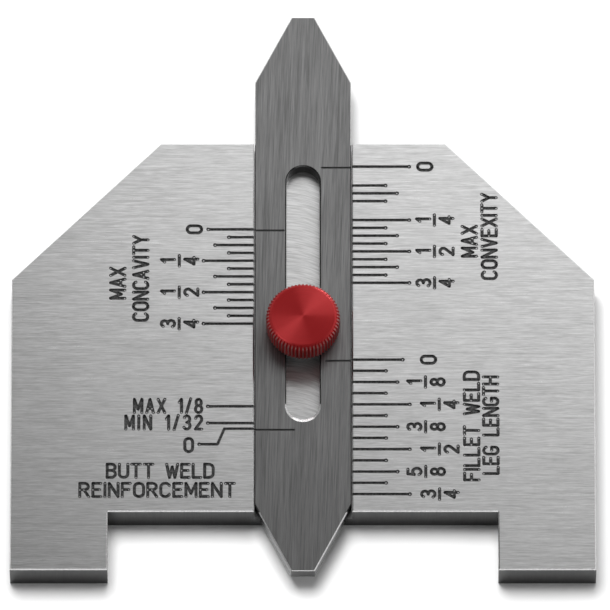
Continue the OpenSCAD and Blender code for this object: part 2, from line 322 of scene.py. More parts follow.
class GaugeStage(PropertyGroup):
    """Camera, floor and lamps."""

    lens: FloatProperty(
        name="Lens", description="Focal length, long because the photograph is nearly free of perspective",
        default=1000, min=50, max=1600, unit="CAMERA")
    across: FloatProperty(
        name="View width", description="Width of the view at the scale face",
        default=79.74 * MM, unit="LENGTH", precision=5)
    elevation: FloatProperty(
        name="Elevation", description="Angle of the camera above the floor",
        default=math.radians(66.4), unit="ROTATION")
    aim: FloatVectorProperty(
        name="Aim", description="Point on the scale face in the middle of the picture",
        default=(0.26 * MM, -2.0 * MM, 4.76 * MM), size=3, subtype="XYZ", unit="LENGTH", precision=5)
    floor: FloatVectorProperty(
        name="Floor", description="Colour of the white card floor",
        default=linear("#fafafa"), size=4, subtype="COLOR", min=0, max=1)
    wall: FloatProperty(
        name="Wall", description="Brightness of the room's pale wall near the floor",
        default=0.75, min=0, max=2)
    ceiling: FloatProperty(
        name="Ceiling", description="Brightness of the room's dim ceiling",
        default=0.1, min=0, max=2)
    softbox: FloatProperty(
        name="Softbox", description="Power of the softbox that hangs behind and to the right",
        default=0.5, min=0, max=50, unit="POWER")
    softbox_near: FloatVectorProperty(
        name="Softbox edge", description="Middle of the softbox's near edge",
        default=(0.07, 0.083, 0.265), size=3, subtype="XYZ", unit="LENGTH")
    softbox_size: FloatVectorProperty(
        name="Softbox size", description="Width and length of the softbox",
        default=(0.27, 0.33), size=2, unit="LENGTH")
    softbox_turn: FloatProperty(
        name="Softbox turn", description="Angle by which the softbox runs off to the right",
        default=math.radians(10), unit="ROTATION")
    card: FloatProperty(
        name="Knob card", description="Power of the lit card whose corner the knob's face mirrors",
        default=0.34, min=0, max=50, unit="POWER")
    fill: FloatProperty(
        name="Knob fill", description="Power of the lamp on the left that brings out the knob's red",
        default=0.75, min=0, max=50, unit="POWER")
    kicker: FloatProperty(
        name="Kicker", description="Power of the low lamp behind that lights the knob's far rim",
        default=0.6, min=0, max=50, unit="POWER")
    rear: FloatProperty(
        name="Rear lamp", description="Power of the low lamp behind that the lower end of the slot mirrors",
        default=0.5, min=0, max=50, unit="POWER")
    bank: FloatProperty(
        name="Front bank", description="Power of the wide lamp in front, for the steel seen from behind",
        default=0.8, min=0, max=50, unit="POWER")
    strip: FloatProperty(
        name="Strip lamp", description="Power of the low strip in front that draws the near edges",
        default=0.15, min=0, max=50, unit="POWER")
    flood: FloatProperty(
        name="Floor lamp", description="Power of the lamp that whitens the floor and spares the gauge",
        default=12, min=0, max=50, unit="POWER")


class GaugeSettings(PropertyGroup):
    """All the settings of the weld gauge."""

    engraving: PointerProperty(type=GaugeEngraving)
    steel: PointerProperty(type=GaugeSteel)
    knob: PointerProperty(type=GaugeKnob)
    stage: PointerProperty(type=GaugeStage)


# Helpers


def toned(colour, share):
    """A colour at a share of its brightness, or a multiple of it, with full alpha."""
    return [c * share for c in colour[:3]] + [1]


def add_node(tree, kind, inputs=None, stops=(), **settings):
    """Adds a node, sets its options, fills its inputs with values or links, and sets a ramp's stops."""
    made = tree.nodes.new(kind)
    for key, value in settings.items():
        setattr(made, key, value)
    for key, value in (inputs or {}).items():
        if isinstance(value, bpy.types.NodeSocket):
            tree.links.new(value, made.inputs[key])
        else:
            made.inputs[key].default_value = value
    for index, (position, colour) in enumerate(stops):
        made.color_ramp.elements[index].position = position
        made.color_ramp.elements[index].color = colour
    return made


def new_material(name):
    """An empty node material and its tree."""
    material = bpy.data.materials.new(name)
    material.use_nodes = True
    material.node_tree.nodes.clear()
    return material, material.node_tree


def new_piece(name, bm, materials, slot, body, *nodes):
    """Makes a piece from a bmesh, which rides on a body and stands for those CAD nodes."""
    mesh = bpy.data.meshes.new(name)
    bm.to_mesh(mesh)
    bm.free()
    if "custom_normal" in mesh.attributes:
        mesh.attributes.remove(mesh.attributes["custom_normal"])
    for material in materials:
        mesh.materials.append(material)
    # Only rounds, which come in strips of four-cornered faces, are shaded smooth
    mesh.polygons.foreach_set("use_smooth", [len(face.vertices) == 4 for face in mesh.polygons])
    mesh.set_sharp_from_angle(angle=SHARP)
    piece = bpy.data.objects.new(name, mesh)
    bpy.context.scene.collection.objects.link(piece)
    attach(piece, body)
    if nodes:
        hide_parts(*nodes)
    return piece


def welded_solid(node):
    """A bmesh of a CAD node's solid, with its seams closed and its flat faces whole."""
    bm = bmesh.new()
    bm.from_mesh(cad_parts[node].data)
    bmesh.ops.remove_doubles(bm, verts=bm.verts, dist=1e-4 * MM)
    bmesh.ops.dissolve_limit(bm, angle_limit=math.radians(0.05), verts=bm.verts, edges=bm.edges)
    return bm


def turned(levels, segments, surface):
    """A closed bmesh round the screw's axis: rings at (radius, z), nowhere outside surface(angle, z)."""
    bm = bmesh.new()
    rings = []
    for radius, z in levels:
        row = []
        for i in range(segments):
            angle = math.tau * i / segments
            r = min(radius, surface(angle, z))
            x, y = SCREW_AXIS.x + r * math.cos(angle), SCREW_AXIS.y + r * math.sin(angle)
            row.append(bm.verts.new((x, y, z)))
        rings.append(row)
    for low, high in zip(rings, rings[1:]):
        for i in range(segments):
            j = (i + 1) % segments
            bm.faces.new((low[i], low[j], high[j], high[i]))
    bm.faces.new(list(reversed(rings[0])))
    bm.faces.new(rings[-1])
    return bm


# Materials


def brushed_stainless(name, colour, depth, grain_sizes, lean, rough, turn, turn_axis):
    """Brushed stainless: streaks that vary in tone, gloss and relief.

    The grain sizes are (x, y) for its hairs and its bands. Depth is how much darker the streaks are,
    and turn is how far the grain stretches the gloss across itself.
    """
    material, tree = new_material(name)
    place = add_node(tree, "ShaderNodeTexCoord").outputs["Object"]
    leaning = add_node(
        tree, "ShaderNodeVectorRotate", {"Vector": place, "Angle": lean}, rotation_type="Z_AXIS")
    noises = []
    for wide, tall in grain_sizes:
        grain = add_node(tree, "ShaderNodeMapping", {
            "Vector": leaning.outputs[0], "Scale": (1 / wide, 1 / tall, 1 / min(wide, tall))})
        noises.append(add_node(tree, "ShaderNodeTexNoise", {
            "Vector": grain.outputs[0], "Scale": 1, "Detail": 3, "Roughness": 0.7}).outputs[0])
    both = add_node(tree, "ShaderNodeMix", {0: 0.3, 2: noises[0], 3: noises[1]})
    tone = add_node(
        tree, "ShaderNodeValToRGB", {0: both.outputs[0]},
        stops=((0.33, toned(colour, 1 - depth)), (0.67, colour[:])))
    gloss = add_node(tree, "ShaderNodeMapRange", {
        0: both.outputs[0], 1: 0.3, 2: 0.7, 3: rough + 0.03, 4: rough - 0.03})
    rounded = add_node(tree, "ShaderNodeBevel", {"Radius": 0.1 * MM}, samples=4)
    relief = add_node(tree, "ShaderNodeBump", {
        "Height": noises[0], "Strength": 0.5, "Distance": 0.003 * MM, "Normal": rounded.outputs[0]})
    across = add_node(tree, "ShaderNodeTangent", direction_type="RADIAL", axis=turn_axis)
    shader = add_node(tree, "ShaderNodeBsdfPrincipled", {
        "Base Color": tone.outputs[0], "Metallic": 1, "Roughness": gloss.outputs[0],
        "Normal": relief.outputs[0], "Anisotropic": turn, "Tangent": across.outputs[0]})
    add_node(tree, "ShaderNodeOutputMaterial", {0: shader.outputs[0]})
    return material


def stainless_brushed_across(steel):
    """Stainless plate, belt-brushed from side to side: pale soft gloss with fine level streaks."""
    sizes = ((steel.plate_run, steel.streak), (steel.plate_run * 6, steel.streak * 3))
    return brushed_stainless("stainless_brushed_across", steel.plate, 0.42, sizes, 0.0, 0.3, 0.7, "X")


def stainless_along_painted_shade(steel):
    """Stainless slide, drawn lengthwise over grit: the grain turns the gloss away, and its colour is also
    set darker than the plate's as painted shade for that.
    """
    sizes = ((steel.streak * 1.2, steel.slide_run), (steel.streak * 5, steel.slide_run * 6))
    return brushed_stainless(
        "stainless_along_painted_shade", steel.slide, 0.5, sizes, steel.slide_lean, 0.44, 0.35, "Y")


def stainless_scribed_painted_shade(steel):
    """Index lines scribed in the slide and left bare, coloured at half the slide's brightness: painted
    shade in the scribed grooves.
    """
    sizes = ((steel.streak * 3, steel.streak), (steel.streak * 9, steel.streak * 3))
    return brushed_stainless("stainless_scribed_painted_shade", toned(steel.slide, 0.5), 0.3, sizes, 0.0, 0.44, 0.35, "Y")


def ground_stainless(name, colour):
    """Stainless ground on a fine wheel: smoother than the brushed faces, with fine upright lines."""
    material, tree = new_material(name)
    place = add_node(tree, "ShaderNodeTexCoord").outputs["Object"]
    # Grinding lines of 0.05 mm, drawn at 0.15 mm so that they show
    lines = add_node(tree, "ShaderNodeMapping", {
        "Vector": place, "Scale": (1 / (0.15 * MM), 1 / (0.15 * MM), 1 / (3 * MM))})
    grit = add_node(tree, "ShaderNodeTexNoise", {"Vector": lines.outputs[0], "Scale": 1, "Detail": 3})
    tone = add_node(
        tree, "ShaderNodeValToRGB", {0: grit.outputs[0]},
        stops=((0.3, toned(colour, 0.7)), (0.7, colour[:])))
    relief = add_node(tree, "ShaderNodeBump", {
        "Height": grit.outputs[0], "Strength": 0.4, "Distance": 0.004 * MM})
    shader = add_node(tree, "ShaderNodeBsdfPrincipled", {
        "Base Color": tone.outputs[0], "Metallic": 1, "Roughness": 0.2, "Normal": relief.outputs[0]})
    add_node(tree, "ShaderNodeOutputMaterial", {0: shader.outputs[0]})
    return material


def stainless_milled(steel):
    """Stainless channel milled along its length: bright, with arcs where each tooth swept across."""
    material, tree = new_material("stainless_milled")
    place = add_node(tree, "ShaderNodeTexCoord").outputs["Object"]
    axes = add_node(tree, "ShaderNodeSeparateXYZ", {0: place})
    # The cutter is wider than the channel, and its middle runs left of the channel's, so that the arcs
    # fall away to the right
    sweep, shift = SLIDE_HIGH.x * 1.6, SLIDE_HIGH.x * 0.4
    aside = add_node(tree, "ShaderNodeMath", {0: axes.outputs[0], 1: shift}, operation="ADD")
    square = add_node(
        tree, "ShaderNodeMath", {0: aside.outputs[0], 1: aside.outputs[0]}, operation="MULTIPLY")
    rest = add_node(
        tree, "ShaderNodeMath", {0: sweep * sweep, 1: square.outputs[0]}, operation="SUBTRACT")
    rise = add_node(tree, "ShaderNodeMath", {0: rest.outputs[0], 1: 0.5}, operation="POWER")
    advance = add_node(
        tree, "ShaderNodeMath", {0: axes.outputs[1], 1: rise.outputs[0]}, operation="SUBTRACT")
    along = add_node(
        tree, "ShaderNodeMath", {0: advance.outputs[0], 1: steel.mill_feed}, operation="DIVIDE")
    across = add_node(tree, "ShaderNodeMath", {0: axes.outputs[0], 1: 3 * MM}, operation="DIVIDE")
    sheet = add_node(tree, "ShaderNodeCombineXYZ", {0: along.outputs[0], 1: across.outputs[0]})
    arcs = add_node(tree, "ShaderNodeTexNoise", {
        "Vector": sheet.outputs[0], "Scale": 1, "Detail": 3, "Roughness": 0.6})
    tone = add_node(
        tree, "ShaderNodeValToRGB", {0: arcs.outputs[0]},
        stops=((0.3, toned(steel.floor, 0.62)), (0.65, steel.floor[:])))
    relief = add_node(tree, "ShaderNodeBump", {
        "Height": arcs.outputs[0], "Strength": 0.6, "Distance": 0.006 * MM})
    shader = add_node(tree, "ShaderNodeBsdfPrincipled", {
        "Base Color": tone.outputs[0], "Metallic": 0.75, "Roughness": 0.36, "Normal": relief.outputs[0]})
    add_node(tree, "ShaderNodeOutputMaterial", {0: shader.outputs[0]})
    return material


def black_engraving_fill(steel, name, pale_share):
    """Black enamel wiped into the engraving: dull and dark, or paler and patchy where the last argument is
    1.
    """
    material, tree = new_material(name)
    place = add_node(tree, "ShaderNodeTexCoord").outputs["Object"]
    # Patches about 0.25 mm across
    patch = add_node(tree, "ShaderNodeTexNoise", {"Vector": place, "Scale": 1 / (0.25 * MM), "Detail": 2})
    tone = add_node(
        tree, "ShaderNodeValToRGB", {0: patch.outputs[0]},
        stops=((0.35, toned(steel.fill, 1 + 1.2 * pale_share)), (0.7, toned(steel.fill, 1.5 + 7 * pale_share))))
    relief = add_node(tree, "ShaderNodeBump", {
        "Height": patch.outputs[0], "Strength": 0.4, "Distance": 0.02 * MM})
    shader = add_node(tree, "ShaderNodeBsdfPrincipled", {
        "Base Color": tone.outputs[0], "Metallic": 0.2 * pale_share, "Roughness": 0.6,
        "Normal": relief.outputs[0]})
    add_node(tree, "ShaderNodeOutputMaterial", {0: shader.outputs[0]})
    return material


def lathe_rings(tree, feed):
    """Rings round the screw's axis, about one for each feed of the lathe's tool."""
    place = add_node(tree, "ShaderNodeTexCoord").outputs["Object"]
    centred = add_node(tree, "ShaderNodeMapping", {
        "Vector": place, "Location": (-SCREW_AXIS.x, -SCREW_AXIS.y, 0), "Scale": (1, 1, 0)})
    radius = add_node(tree, "ShaderNodeVectorMath", {0: centred.outputs[0]}, operation="LENGTH")
    turns = add_node(
        tree, "ShaderNodeMath", {0: radius.outputs["Value"], 1: feed}, operation="DIVIDE")
    rings = add_node(
        tree, "ShaderNodeTexNoise", {"W": turns.outputs[0], "Scale": 1, "Detail": 2},
        noise_dimensions="1D")
    return rings.outputs[0]


def aluminium_red_anodised(knob):
    """Turned aluminium, anodised clear red: fine rings fan the light into two bright sectors."""
    material, tree = new_material("aluminium_red_anodised")
    # Tool feed of 0.05 mm a turn, drawn at 0.09 mm so that it shows
    rings = lathe_rings(tree, 0.09 * MM)
    tone = add_node(
        tree, "ShaderNodeValToRGB", {0: rings},
        stops=((0.25, toned(knob.red, 0.82)), (0.75, knob.red[:])))
    relief = add_node(tree, "ShaderNodeBump", {
        "Height": rings, "Strength": 0.4, "Distance": 0.004 * MM})
    turn = add_node(tree, "ShaderNodeTangent", direction_type="RADIAL", axis="Z")
    shader = add_node(tree, "ShaderNodeBsdfPrincipled", {
        "Base Color": tone.outputs[0], "Metallic": 0.4, "Roughness": 0.29, "Normal": relief.outputs[0],
        "Specular IOR Level": 0.4, "Anisotropic": 0.96, "Anisotropic Rotation": 0.25,
        "Tangent": turn.outputs[0]})
    add_node(tree, "ShaderNodeOutputMaterial", {0: shader.outputs[0]})
    return material


def aluminium_crest_highlight(knob):
    """Knurl crests in a paler colour, in patches: a painted highlight of the light that the crests catch,
    so they show as pale dashes.
    """
    material, tree = new_material("aluminium_crest_highlight")
    place = add_node(tree, "ShaderNodeTexCoord").outputs["Object"]
    # Patches of the painted highlight about 0.3 mm across
    wear = add_node(tree, "ShaderNodeTexNoise", {"Vector": place, "Scale": 1 / (0.3 * MM), "Detail": 2})
    half_highlight = [(r + b) / 2 for r, b in zip(knob.red, knob.bare)]
    tone = add_node(
        tree, "ShaderNodeValToRGB", {0: wear.outputs[0]}, stops=((0.3, half_highlight), (0.6, knob.bare[:])))
    shader = add_node(tree, "ShaderNodeBsdfPrincipled", {
        "Base Color": tone.outputs[0], "Metallic": 0.4, "Roughness": 0.4})
    add_node(tree, "ShaderNodeOutputMaterial", {0: shader.outputs[0]})
    return material


def steel_machined(steel):
    """Bright steel off the lathe: fairly glossy, with rings that the tool left round it."""
    material, tree = new_material("steel_machined")
    # Tool feed of 0.12 mm a turn
    rings = lathe_rings(tree, 0.12 * MM)
    tone = add_node(
        tree, "ShaderNodeValToRGB", {0: rings},
        stops=((0.2, toned(steel.screw, 0.75)), (0.7, steel.screw[:])))
    relief = add_node(tree, "ShaderNodeBump", {
        "Height": rings, "Strength": 0.4, "Distance": 0.004 * MM})
    shader = add_node(tree, "ShaderNodeBsdfPrincipled", {
        "Base Color": tone.outputs[0], "Metallic": 1, "Roughness": 0.3, "Normal": relief.outputs[0]})
    add_node(tree, "ShaderNodeOutputMaterial", {0: shader.outputs[0]})
    return material


def white_card(stage):
    """Matt white card: even and slightly fibrous."""
    material, tree = new_material("white_card")
    place = add_node(tree, "ShaderNodeTexCoord").outputs["Object"]
    # Fibres about 0.8 mm long
    fibre = add_node(tree, "ShaderNodeTexNoise", {"Vector": place, "Scale": 1 / (0.8 * MM), "Detail": 3})
    relief = add_node(tree, "ShaderNodeBump", {
        "Height": fibre.outputs[0], "Strength": 0.1, "Distance": 0.02 * MM})
    shader = add_node(tree, "ShaderNodeBsdfPrincipled", {
        "Base Color": stage.floor[:], "Roughness": 0.9, "Specular IOR Level": 0.0,
        "Normal": relief.outputs[0]})
    add_node(tree, "ShaderNodeOutputMaterial", {0: shader.outputs[0]})
    return material


# Engraving


def set_line(text, capital, stroke, spread, length):
    """The cutter's passes for one line of text, centre lines from the line's lower left corner."""
    rise = capital - stroke
    reach = rise * spread
    widths = [ALPHABET[sign][0] * reach + stroke for sign in text]
    gap = (length - sum(widths)) / (len(text) - 1) if len(text) > 1 else 0
    left = (length - widths[0]) / 2 if len(text) == 1 else 0
    passes = []
    for sign, width in zip(text, widths):
        for path in ALPHABET[sign][1]:
            passes.append([(left + stroke / 2 + u * reach, stroke / 2 + v * rise) for u, v in path])
        left += width + gap
    return passes


def read_upwards(passes, x, y):
    """Turns passes to read up the plate, from a point at the foot of the line."""
    return [[(x - v, y + u) for u, v in path] for path in passes]


def read_across(passes, x, y):
    """Moves passes to read across the plate, from their lower left corner."""
    return [[(x + u, y + v) for u, v in path] for path in passes]


def fraction(engraving, upper, lower, x, y):
    """The passes of a fraction whose bar has its middle at a point and whose signs read up the plate."""
    tall, stroke, run = engraving.figure, engraving.stroke, engraving.bar
    passes = [[(x, y - (run - stroke) / 2), (x, y + (run - stroke) / 2)]]
    for sign, foot in ((upper, x - engraving.upper_gap), (lower, x + engraving.lower_gap + tall)):
        passes += read_upwards(set_line(sign, tall, stroke, 1, run), foot, y - run / 2)
    return passes


def engraved_passes(engraving):
    """All passes of the words and figures, centre lines on the plate's face."""
    tall, stroke, foot = engraving.capital, engraving.stroke, FOOT_LINE
    passes = []
    for text, x, middle, length, spread in UPRIGHT_LINES:
        line = set_line(text, tall, stroke, spread, length * MM)
        passes += read_upwards(line, x * MM, foot + (middle - length / 2) * MM)
    for text, x, height, length, spread in LEVEL_LINES:
        line = set_line(text, tall, stroke, spread, length * MM)
        passes += read_across(line, x * MM, foot + height * MM)
    width = engraving.bar
    for x, height in zip(ZEROS_X, (engraving.concave_zero, engraving.convex_zero, engraving.leg_zero)):
        passes += read_upwards(set_line("0", tall, stroke, 1, width), x * MM, foot + height - width / 2)
    for step, upper, lower in ((4, "1", "4"), (8, "1", "2"), (12, "3", "4")):
        concave = engraving.concave_zero - step * THROAT_STEP
        convex = engraving.convex_zero - step * THROAT_STEP - INCH / 8
        leg = engraving.leg_zero - step * LEG_STEP
        for x, height in zip(QUARTERS_X, (concave, convex, leg)):
            passes += fraction(engraving, upper, lower, x * MM, foot + height)
    for step, upper in ((2, "1"), (6, "3"), (10, "5")):
        leg = engraving.leg_zero - step * LEG_STEP
        passes += fraction(engraving, upper, "8", EIGHTHS_X * MM, foot + leg)
    return passes


def scale_passes(engraving):
    """The passes of the scale lines, each from the channel's edge to its pit."""
    # Starts a little inside the channel, so that the lines break through its edge
    edge = SLIDE_HIGH.x - 0.1 * MM
    clear = 0.2 * MM
    lines = []
    for step in range(13):
        rank = 0 if step % 4 == 0 else 1 if step % 2 == 0 else 2
        # What a convex weld may bulge
        allowed = 0 if step == 0 else INCH / 16 if step < 4 else INCH / 8
        left, leg = (LEFT_TICKS[rank], RIGHT_TICKS[rank]) if step else (LEFT_DATUM, LEG_DATUM)
        lines.append((1, engraving.convex_zero - step * THROAT_STEP - allowed, RIGHT_TICKS[rank]))
        lines.append((-1, engraving.concave_zero - step * THROAT_STEP, left))
        lines.append((1, engraving.leg_zero - step * LEG_STEP, leg))
    for crown in (INCH / 32, INCH / 8):
        lines.append((-1, engraving.crown_zero + crown, LEFT_DATUM))
    passes = []
    for side, height, length in lines:
        y = FOOT_LINE + height
        passes.append([(side * edge, y), (side * (edge + clear + length * MM), y)])
    run, slope, drop, tail = [size * MM for size in CROWN_LINE]
    y = FOOT_LINE + engraving.crown_zero
    bend = (-edge - clear - run, y)
    foot = (bend[0] - slope, y - drop)
    passes += [[(-edge, y), bend], [bend, foot], [foot, (foot[0] - tail, y - drop)]]
    return passes


def cutter_track(path, half):
    """The outline that a round cutter of that half width leaves along a smooth path, anticlockwise."""
    points = [Vector(p) for p in path]
    runs = [b - a for a, b in zip(points, points[1:])]
    headings = [math.atan2(run.y, run.x) for run in runs]
    corners = [0.0] * len(points)
    corners[0], corners[-1] = headings[0], headings[-1]
    for i in range(1, len(points) - 1):
        mean = runs[i - 1].normalized() + runs[i].normalized()
        corners[i] = math.atan2(mean.y, mean.x)
    spots = [(points[0], corners[0] + math.radians(90 + 30 * i)) for i in range(7)]
    spots += [(p, a - math.pi / 2) for p, a in zip(points[1:-1], corners[1:-1])]
    spots += [(points[-1], corners[-1] + math.radians(-90 + 30 * i)) for i in range(7)]
    spots += [(p, a + math.pi / 2) for p, a in zip(points[-2:0:-1], corners[-2:0:-1])]
    return [(p.x + half * math.cos(a), p.y + half * math.sin(a)) for p, a in spots]


def cut_passes(piece, passes, depth):
    """Cuts passes of given widths into the piece's face with a Boolean, then drops the cutter."""
    bm = bmesh.new()
    low, high = FACE - depth, FACE + depth
    for path, width in passes:
        track = cutter_track(path, width / 2)
        bottom = [bm.verts.new((x, y, low)) for x, y in track]
        top = [bm.verts.new((x, y, high)) for x, y in track]
        bm.faces.new(list(reversed(bottom)))
        bm.faces.new(top)
        for i in range(len(track)):
            j = (i + 1) % len(track)
            bm.faces.new((bottom[i], bottom[j], top[j], top[i]))
    mesh = bpy.data.meshes.new("engraving_cutter")
    bm.to_mesh(mesh)
    bm.free()
    cutter = bpy.data.objects.new("engraving_cutter", mesh)
    bpy.context.scene.collection.objects.link(cutter)
    cut = piece.modifiers.new("engraving", "BOOLEAN")
    cut.operation = "DIFFERENCE"
    cut.solver = "EXACT"
    cut.use_self = True
    cut.object = cutter
    ready = piece.evaluated_get(bpy.context.evaluated_depsgraph_get())
    done = bpy.data.meshes.new_from_object(ready)
    piece.modifiers.clear()
    old = piece.data
    piece.data = done
    bpy.data.objects.remove(cutter)
    bpy.data.meshes.remove(mesh)
    bpy.data.meshes.remove(old)


# Operators


class WELDGAUGE_OT_plate(Operator):
    """Adds the gauge plate with its engraved words and figures"""

    bl_idname = "weld_gauge.plate"
    bl_label = "Gauge plate"

    def execute(self, context):
        gauge = context.scene.weld_gauge
        steel, engraving = gauge.steel, gauge.engraving
        materials = [
            stainless_brushed_across(steel),
            stainless_milled(steel),
            black_engraving_fill(steel, "black_engraving_fill", 0),
            black_engraving_fill(steel, "black_engraving_pale_floor", 1),
            # The upright walls get the dark edge colour, which is painted shade
            ground_stainless("stainless_edge_painted_shade", steel.edge),
            ground_stainless("stainless_broken_edge", steel.broken),
        ]
        milled, filled, pale_floor, ground, broken = range(1, len(materials))
        piece = new_piece(
            "plate_engraved", welded_solid("gauge_plate"), materials, "plate_steel", "gauge_plate",
            "gauge_plate")
        words, ticks = engraved_passes(engraving), scale_passes(engraving)
        # The crown zero line ends in one pit, at its tail
        pits = [path[-1] for path in ticks[:-3] + ticks[-1:]]
        passes = [(path, engraving.stroke) for path in words]
        passes += [(path, engraving.tick) for path in ticks]
        passes += [([(x - NEAR, y), (x + NEAR, y)], engraving.pit) for x, y in pits]
        cut_passes(piece, passes, engraving.depth)
        mesh = piece.data
        for face in mesh.polygons:
            depth = FACE - face.center.z
            upright, level = abs(face.normal.z) < WALL, abs(face.normal.z) > LEVEL
            # Groove floors take the paler black and groove walls the darker one
            if NEAR < depth < engraving.depth + NEAR and (upright or level):
                face.material_index = pale_floor if level else filled
            elif abs(face.center.z - SLIDE_LOW.z) < NEAR and level:
                face.material_index = milled
            # Walls get the dark edge colour, painted shade; the chamfers get the bright one
            elif not level:
                face.material_index = ground if upright else broken
        mesh.set_sharp_from_angle(angle=SHARP)
        pips = bmesh.new()
        tall = 0.1 * MM
        for x, y in [end for path in words for end in (path[0], path[-1])] + pits:
            bmesh.ops.create_cone(
                pips, cap_ends=True, segments=10, radius1=engraving.pip / 2, radius2=engraving.pip / 2,
                depth=tall, matrix=Matrix.Translation((x, y, FACE - engraving.depth + tall / 2)))
        new_piece("plunge_pips", pips, materials[:1], "plate_steel", "gauge_plate")
        return {"FINISHED"}


class WELDGAUGE_OT_slide(Operator):
    """Adds the pointed slide with its index lines"""

    bl_idname = "weld_gauge.slide"
    bl_label = "Pointer slide"

    def execute(self, context):
        gauge = context.scene.weld_gauge
        materials = [
            stainless_along_painted_shade(gauge.steel),
            stainless_scribed_painted_shade(gauge.steel),
            bpy.data.materials["stainless_edge_painted_shade"],
            bpy.data.materials["stainless_broken_edge"],
        ]
        scribed, ground, broken = range(1, len(materials))
        bm = welded_solid("pointer_slide")
        # The slot's edge is broken more widely at its lower end, which catches the light as a crescent
        for corner in bm.verts:
            away = corner.co.xy - SLOT_END
            if corner.co.z > SLIDE_HIGH.z - NEAR and away.y < 0 and abs(away.length - SLOT_EDGE) < NEAR:
                corner.co.xy += away.normalized() * gauge.steel.crescent * -away.y / SLOT_EDGE
        bm.normal_update()
        for face in bm.faces:
            middle = face.calc_center_median()
            depth = SLIDE_HIGH.z - middle.z
            upright, level = abs(face.normal.z) < WALL, abs(face.normal.z) > LEVEL
            # The rest of the slot's edge gets the dark edge colour, painted shade, instead of the bright
            # one of the slide's outer edges
            slot_edge_shaded = abs(middle.x) < SLIDE_HIGH.x / 2 and SLOT_END.y < middle.y < PAST_SLOT
            # The scribed index lines take the half-bright steel, which is painted shade in their grooves
            if NEAR < depth < gauge.engraving.depth + NEAR and (upright or level):
                face.material_index = scribed
            elif not level:
                face.material_index = ground if upright or slot_edge_shaded else broken
        new_piece("slide_pointed", bm, materials, "slide_steel", "pointer_slide", "pointer_slide")
        return {"FINISHED"}


class WELDGAUGE_OT_knob(Operator):
    """Adds the knurled thumb knob"""

    bl_idname = "weld_gauge.knob"
    bl_label = "Thumb knob"

    def execute(self, context):
        knob = context.scene.weld_gauge.knob
        outer, low, high = KNOB_HIGH.x - SCREW_AXIS.x, KNOB_LOW.z, KNOB_HIGH.z
        face, lip = knob.face / 2, knob.lip
        bevel = outer - face
        tooth_faces, bevel_steps, lip_steps = 6, 9, 4
        # How far in the lip stands, as a share of its radius, and where the crests end, as one of the rim
        lip_in, crest_end = 0.9, 0.25
        levels = [(outer - knob.heel, low), (outer, low + knob.heel), (outer, high - knob.rim)]
        # The bevel swells a little, in steps on which the knurl runs out, then rolls over a small lip
        slant = math.hypot(bevel, knob.rim)
        for i in range(1, bevel_steps):
            share = i / bevel_steps
            swell = knob.swell * math.sin(math.pi * share) / slant
            radius = outer - bevel * share + swell * knob.rim
            levels.append((radius, high - knob.rim * (1 - share) + swell * bevel))
        tilt = math.atan2(knob.rim, bevel)
        inset = face - lip * lip_in
        for i in range(lip_steps + 1):
            turn = (math.pi / 2 - tilt) + tilt * i / lip_steps
            levels.append((inset + lip * math.cos(turn), high - lip + lip * math.sin(turn)))

        def knurl(angle, z):
            wave = abs((angle * knob.teeth / math.tau) % 1 * 2 - 1)
            sink = knob.knurl_sink * max(0, 1 - (high - z) / knob.rim)
            return outer - (knob.knurl_depth + sink) * (1 - wave)

        bm = turned(levels, knob.teeth * tooth_faces, knurl)
        # The crests are the two highest faces of each tooth, up to about where the knurl runs out
        crest_low, crest_high = low + knob.heel, high - knob.rim * crest_end
        for strip in bm.faces:
            spot = strip.calc_center_median()
            angle = math.atan2(spot.y - SCREW_AXIS.y, spot.x - SCREW_AXIS.x)
            lit_crest = knurl(angle, low) > outer - knob.knurl_depth * 2 / tooth_faces
            if lit_crest and crest_low < spot.z < crest_high:
                # The crests get the pale colour, a painted highlight
                strip.material_index = 1
        new_piece(
            "knob_knurled", bm, [aluminium_red_anodised(knob), aluminium_crest_highlight(knob)], "red_anodised",
            "thumb_screw", "thumb_knob")
        return {"FINISHED"}


class WELDGAUGE_OT_screw(Operator):
    """Adds the threaded screw and dresses the washer"""

    bl_idname = "weld_gauge.screw"
    bl_label = "Screw and washer"

    def execute(self, context):
        gauge = context.scene.weld_gauge
        metal = steel_machined(gauge.steel)
        pitch = gauge.knob.pitch
        outer = SCREW_HIGH.x - SCREW_AXIS.x
        # Depth of the thread, its flats at crest and root as a share of the pitch, and the tip's radius
        depth, flat, tip = 0.6 * pitch, 0.1, 0.8 * outer
        turn_steps, segments = 10, 60
        count = round((SCREW_HIGH.z - SCREW_LOW.z) / (pitch / turn_steps))
        rise = (SCREW_HIGH.z - SCREW_LOW.z) / count
        levels = [(outer, SCREW_LOW.z + rise * i) for i in range(count + 1)]

        def thread(angle, z):
            share = (z / pitch - angle / math.tau) % 1
            flank = min(max((abs(share * 2 - 1) - flat) / (1 - flat * 2), 0), 1)
            return min(outer - depth * (1 - flank), tip + (z - SCREW_LOW.z))

        bm = turned(levels, segments, thread)
        new_piece("screw_threaded", bm, [metal], "screw_steel", "thumb_screw", "clamp_screw")
        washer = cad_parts["clamp_washer"]
        washer.data.materials.clear()
        washer.data.materials.append(metal)
        return {"FINISHED"}


